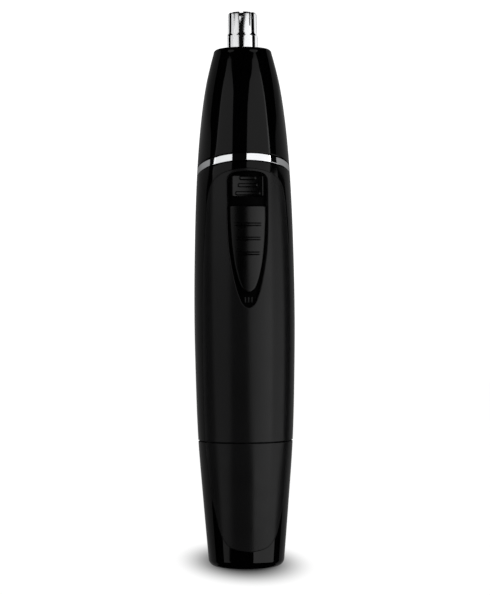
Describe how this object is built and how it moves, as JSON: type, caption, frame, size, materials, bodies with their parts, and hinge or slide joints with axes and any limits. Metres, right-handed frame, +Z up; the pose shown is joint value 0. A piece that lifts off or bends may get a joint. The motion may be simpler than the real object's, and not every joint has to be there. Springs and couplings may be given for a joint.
{
  "type": "nose hair trimmer",
  "caption": "Battery nose hair trimmer: tapered gloss barrel, satin front panel, slide switch, chrome ring, pull-off head with a slotted steel rotary cutter.",
  "frame": {"origin": "centre of the battery cap's flat base, where the trimmer stands", "axes": "+Z up the barrel to the cutter; the slide switch and satin panel face -Y; +X to the right seen from the front"},
  "size_m": [0.025, 0.025, 0.1377],
  "materials": {
    "gloss_black": "piano-black gloss ABS",
    "satin_black": "soft satin black panel",
    "grip_black": "semi-satin black switch",
    "chrome": "bright chrome plating",
    "cutter_steel": "polished stainless steel",
    "spring_steel": "drawn spring wire and shaft steel",
    "zinc_steel": "zinc-plated steel",
    "contact_brass": "stamped brass strip",
    "winding_copper": "copper windings and segments",
    "ferrite": "sintered ferrite",
    "nylon_black": "moulded black nylon",
    "nylon_white": "natural acetal and nylon",
    "rubber": "black silicone rubber",
    "cell_jacket": "plain printed cell sleeve",
    "wire_red": "red insulated wire",
    "wire_black": "black insulated wire"
  },
  "bodies": {
    "cap": {"battery_cap": "gloss_black", "cap_panel": "satin_black", "negative_contact": "contact_brass", "negative_spring": "spring_steel", "battery_cell": "cell_jacket"},
    "handle": {"body_shell": "gloss_black", "front_panel": "satin_black", "slide_track": "satin_black", "trim_ring": "chrome", "chassis": "nylon_black", "cap_seal": "rubber", "head_seal": "rubber", "positive_contact": "contact_brass", "switch_contact": "contact_brass", "negative_strip": "contact_brass", "motor_can": "zinc_steel", "motor_magnet_left": "ferrite", "motor_magnet_right": "ferrite", "motor_end_cap": "nylon_white", "motor_terminal_left": "contact_brass", "motor_terminal_right": "contact_brass", "motor_mount": "rubber", "motor_screw_left": "zinc_steel", "motor_screw_right": "zinc_steel", "wire_red": "wire_red", "wire_black": "wire_black"},
    "slide": {"slide_knob": "grip_black", "thumb_grip": "grip_black", "slide_carrier": "nylon_white", "switch_bridge": "contact_brass"},
    "motor_rotor": {"motor_shaft": "spring_steel", "motor_armature": "winding_copper", "commutator": "winding_copper", "drive_coupler": "nylon_white"},
    "head": {"head_shell": "gloss_black", "cutter_holder": "nylon_black", "outer_cutter": "cutter_steel"},
    "cutter_rotor": {"blade_carrier": "nylon_black", "inner_cutter": "cutter_steel", "drive_spindle": "nylon_white", "cutter_spring": "spring_steel"}
  },
  "joints": [
    {"name": "body_lift", "type": "slide", "parent": "cap", "child": "handle", "axis": [0, 0, 1], "range_m": [0, 0.036]},
    {"name": "head_lift", "type": "slide", "parent": "handle", "child": "head", "axis": [0, 0, 1], "range_m": [0, 0.03]},
    {"name": "power_slide", "type": "slide", "parent": "handle", "child": "slide", "axis": [0, 0, 1], "range_m": [-0.0028, 0]},
    {"name": "motor_spin", "type": "hinge", "parent": "handle", "child": "motor_rotor", "pos_m": [0, 0, 0.0634], "axis": [0, 0, 1], "continuous": true},
    {"name": "cutter_spin", "type": "hinge", "parent": "head", "child": "cutter_rotor", "pos_m": [0, 0, 0.132], "axis": [0, 0, 1], "continuous": true}
  ],
  "couplings": [
    {"joint": "cutter_spin", "follows": "motor_spin", "ratio": 1}
  ]
}
